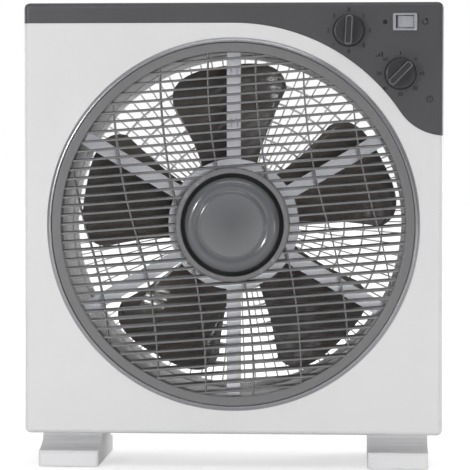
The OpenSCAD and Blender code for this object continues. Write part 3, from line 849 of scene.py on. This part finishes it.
def text_points(text, size):
    """Vertices and faces of a number, centred on the origin."""
    curve = bpy.data.curves.new("mark", "FONT")
    curve.body = text
    curve.size = size
    curve.offset = 0.08
    curve.align_x = "CENTER"
    curve.align_y = "CENTER"
    curve.resolution_u = 6
    temp = bpy.data.objects.new("mark", curve)
    bpy.context.scene.collection.objects.link(temp)
    bpy.context.view_layer.update()
    mesh = temp.to_mesh()
    points = [tuple(v.co) for v in mesh.vertices]
    faces = [tuple(p.vertices) for p in mesh.polygons]
    temp.to_mesh_clear()
    bpy.data.objects.remove(temp)
    bpy.data.curves.remove(curve)
    return points, faces


def add_flat(shape, points, faces, x, z):
    """Lays a flat figure (x to the right, y up) on the panel, as a thin print."""
    base = len(shape.points)
    y = FACE_Y - PRINT
    for px, py, _ in points:
        shape.points.append(Vector(((x + px) * MM, y * MM, (z + py) * MM)))
    for f in faces:
        shape.faces.append(tuple(base + k for k in f))


def ring_figure(r_out, r_in, start=0, stop=360):
    """Flat ring, or an arc of it, clockwise from the top in degrees."""
    steps = 40
    points, faces = [], []
    for k in range(steps + 1):
        a = math.radians(start + (stop - start) * k / steps)
        points.append((r_out * math.sin(a), r_out * math.cos(a), 0))
        points.append((r_in * math.sin(a), r_in * math.cos(a), 0))
    for k in range(steps):
        faces.append((2 * k, 2 * k + 1, 2 * k + 3, 2 * k + 2))
    return points, faces


def box_figure(w, h, x=0.0, y=0.0):
    """Flat rectangle round the point (x, y)."""
    points = [(x - w / 2, y - h / 2, 0), (x + w / 2, y - h / 2, 0)]
    points += [(x + w / 2, y + h / 2, 0), (x - w / 2, y + h / 2, 0)]
    return points, [(0, 1, 2, 3)]


def dial_marks_and_shade(materials):
    """Numbers round the two knobs and plain signs beside the controls, and a painted shadow ring
    round each knob.
    """
    shape = Shape()
    for i in range(8):
        a = math.radians(45 * i)
        x, z = SPEED.x + SPEED_MARKS * math.sin(a), SPEED.z + SPEED_MARKS * math.cos(a)
        add_flat(shape, *text_points(str(i % 4), 4.8), x, z)
    # the timer's first mark, always on, is a plain bar
    for i, label in enumerate(["", "0", "10", "20", "30", "40", "50", "60"]):
        a = math.radians(45 * i)
        x, z = TIMER.x + TIMER_MARKS[0] * math.sin(a), TIMER.z + TIMER_MARKS[1] * math.cos(a)
        if label:
            points, faces = text_points(label, 4.3)
        else:
            points, faces = box_figure(0.9, 3.2)
        add_flat(shape, points, faces, x, z)
    # painted shadow: a dark ring round each knob, standing for the shade in the gap round it
    for place, node in ((SPEED, "speed_knob"), (TIMER, "timer_knob")):
        r = radius_of_disc(node)
        add_flat(shape, *ring_figure(r + 0.9, r - 0.6), place.x, place.z)
    # rocker: a square for still, a turning arrow for moving
    add_flat(shape, *box_figure(3.4, 3.4), ROCKER.x - SIGN_SIDE, ROCKER.z)
    add_flat(shape, *ring_figure(2.6, 1.8, 30, 330), ROCKER.x + SIGN_SIDE, ROCKER.z)
    head = ([(0.1, 3.6, 0), (0.1, 0.8, 0), (2.6, 2.2, 0)], [(0, 1, 2)])
    add_flat(shape, *head, ROCKER.x + SIGN_SIDE, ROCKER.z)
    # speed: three growing bars; timer: a clock face
    for i in range(3):
        bar = box_figure(1.3, 1.4 + 1.3 * i, 2.4 * (i - 1), 0.65 * i)
        add_flat(shape, *bar, SPEED.x + 26, SPEED.z - SIGN_DROP)
    clock = (TIMER.x + 25, TIMER.z - SIGN_DROP)
    add_flat(shape, *ring_figure(2.9, 2.2), *clock)
    add_flat(shape, *box_figure(0.6, 1.9, 0, 0.8), *clock)
    add_flat(shape, *box_figure(1.5, 0.6, 0.6, 0), *clock)
    # one ink for the print and the painted shadow rings
    obj = add_object("dial_marks_and_shade", shape.points, shape.faces, ink_and_shade("mark_ink_and_shade", (0.007, 0.007, 0.008)))
    thick = obj.modifiers.new("print", "SOLIDIFY")
    thick.thickness = PRINT * MM
    thick.offset = -1 if normal_points_out(obj) else 1
    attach(obj, "body")


def normal_points_out(obj):
    """Whether the print's faces look forwards, away from the panel."""
    return obj.data.polygons[0].normal.y < 0


# ---------- stage, light and camera ----------


def floor():
    """Pale floor that glows towards the distance and so fades into the backdrop."""
    n = Nodes("floor_pale")
    cloud = n.noise(3, 2, 0.5)
    n.link(
        n.mix(n.spread(cloud, 0, 1), (0.78, 0.78, 0.78), (0.80, 0.80, 0.80)),
        n.shader.inputs["Base Color"],
    )
    n.shader.inputs["Roughness"].default_value = 0.9
    n.shader.inputs["Specular IOR Level"].default_value = 0.1
    n.shader.inputs["Emission Color"].default_value = (1, 1, 1, 1)
    seen = n.add("ShaderNodeLightPath").outputs["Is Camera Ray"]
    glow = n.spread(n.reach("X", "Y"), 0.45, 0.85, 0.25, 1.3)
    n.link(n.math("MULTIPLY", seen, glow), n.shader.inputs["Emission Strength"])
    half = 12.0
    points = [(-half, -half, 0), (half, -half, 0), (half, half, 0), (-half, half, 0)]
    obj = add_object("floor", points, [(0, 1, 2, 3)], n.material)


def area_light(name, place, width, height, power, glossy=True, target=None):
    """Rectangular light aimed at target, or else at the hub."""
    data = bpy.data.lights.new(name, "AREA")
    data.shape = "RECTANGLE"
    data.size = width
    data.size_y = height
    data.energy = power
    obj = bpy.data.objects.new(name, data)
    obj.location = place
    aim = (target or world(0, 0, 0)) - Vector(place)
    obj.rotation_euler = aim.to_track_quat("-Z", "Y").to_euler()
    obj.visible_glossy = glossy
    bpy.context.scene.collection.objects.link(obj)


def backdrop():
    """White to the camera; for light, dim in front and at the sides, bright above and behind."""
    data = bpy.data.worlds.new("studio")
    bpy.context.scene.world = data
    data.use_nodes = True
    tree = data.node_tree

    def node(kind, **values):
        out = tree.nodes.new(kind)
        for key, value in values.items():
            if key in out.inputs:
                out.inputs[key].default_value = value
            else:
                setattr(out, key, value)
        return out

    def ramp(source, low, high, to_low, to_high):
        out = node("ShaderNodeMapRange", interpolation_type="SMOOTHSTEP")
        limits = {"From Min": low, "From Max": high, "To Min": to_low, "To Max": to_high}
        for key, value in limits.items():
            out.inputs[key].default_value = value
        tree.links.new(source, out.inputs["Value"])
        return out.outputs["Result"]

    def add(a, b):
        out = node("ShaderNodeMath", operation="ADD")
        tree.links.new(a, out.inputs[0])
        tree.links.new(b, out.inputs[1])
        return out.outputs["Value"]

    direction = node("ShaderNodeSeparateXYZ")
    tree.links.new(node("ShaderNodeTexCoord").outputs["Generated"], direction.inputs["Vector"])
    strength = add(
        ramp(direction.outputs["Z"], 0.2, 0.9, 0.12, 0.55),
        ramp(direction.outputs["Y"], 0.0, 0.6, 0.0, 0.3),
    )
    pick = node("ShaderNodeMix")
    tree.links.new(node("ShaderNodeLightPath").outputs["Is Camera Ray"], pick.inputs["Factor"])
    tree.links.new(strength, pick.inputs["A"])
    pick.inputs["B"].default_value = 1.0
    background = tree.nodes["Background"]
    tree.links.new(pick.outputs["Result"], background.inputs["Strength"])
    background.inputs["Color"].default_value = (1, 1, 1, 1)


def studio():
    """Soft studio light: mostly frontal, with windows that shine on the cap and the blades."""
    backdrop()
    middle = Vector((0.0, 0.0, 0.25))
    # even light on the front
    area_light("fill", (0.9, -4.2, 0.26), 0.8, 0.3, 52, glossy=False)
    area_light("low", (0.0, -0.5, 0.03), 0.7, 0.04, 0.5, glossy=False)
    # highlights on the blades, low enough to pass between the slats
    area_light("window_low", (-0.78, -1.42, 0.54), 0.18, 0.14, 2.2)
    area_light("window_high", (-0.93, -1.29, 0.61), 0.2, 0.16, 3.4)
    # a little from above, and shine on the round edges
    area_light("overhead", (0.0, -0.55, 1.3), 0.9, 0.12, 1.6, target=Vector((0.0, -0.6, 0.0)))
    area_light("strip_left", (-1.05, -0.9, 0.22), 0.08, 0.7, 1.1)
    area_light("strip_right", (0.82, -0.62, 0.14), 0.04, 0.24, 0.4)
    area_light("softbox_right", (1.15, -1.5, 0.40), 0.7, 0.6, 0.7)
    # rear and sides, and light through the grilles
    area_light("back", (0.1, 1.6, 1.0), 2.4, 1.6, 4.5, target=middle)
    area_light("back_right", (1.5, 0.75, 0.3), 0.5, 0.5, 12, target=middle)
    area_light("back_left", (-1.5, 0.75, 0.3), 0.5, 0.5, 6, target=middle)


CAMERA_X = 0.1054  # right of the fan's middle
CAMERA_Z = 0.2599  # above the floor
CAMERA_AWAY = 1.85  # from the front face
CAMERA_LENS = 165.5
CAMERA_TURN = 3.196  # degrees to the left
CAMERA_TILT = -1.826  # downwards
CAMERA_ROLL = -0.04


def camera():
    """The photograph's view: far away, from a little above and to the right."""
    data = bpy.data.cameras.new("camera")
    data.sensor_width = 36
    data.lens = CAMERA_LENS
    data.clip_end = 50
    obj = bpy.data.objects.new("camera", data)
    obj.location = (CAMERA_X, FACE_Y * MM - CAMERA_AWAY, CAMERA_Z)
    turn = (
        Matrix.Rotation(math.radians(CAMERA_TURN), 3, "Z")
        @ Matrix.Rotation(math.radians(CAMERA_TILT), 3, "X")
        @ Matrix.Rotation(math.radians(CAMERA_ROLL), 3, "Y")
    )
    look = turn @ Euler((math.pi / 2, 0, 0)).to_matrix()
    obj.rotation_euler = look.to_euler()
    bpy.context.scene.collection.objects.link(obj)
    bpy.context.scene.camera = obj


def main():
    bpy.context.scene.view_settings.view_transform = "Standard"
    materials = make_materials()
    paint_cad(materials)
    soften(0.5, "front_housing", "rear_housing", "control_panel")
    soften(0.5, "foot_left", "foot_right", sharp=28)
    soften(0.35, "front_spider", "louvre_switch", "rear_grille")
    trim_ring(materials)
    hub_cap(materials)
    louvre_grille(materials)
    impeller(materials)
    knob("speed_knob_ridged", SPEED, 3, materials, "speed_knob", "speed_knob")
    knob("timer_knob_ridged", TIMER, 45, materials, "timer_knob", "timer_knob")
    louvre_rocker(materials)
    dial_marks_and_shade(materials)
    floor()
    studio()
    camera()


main()
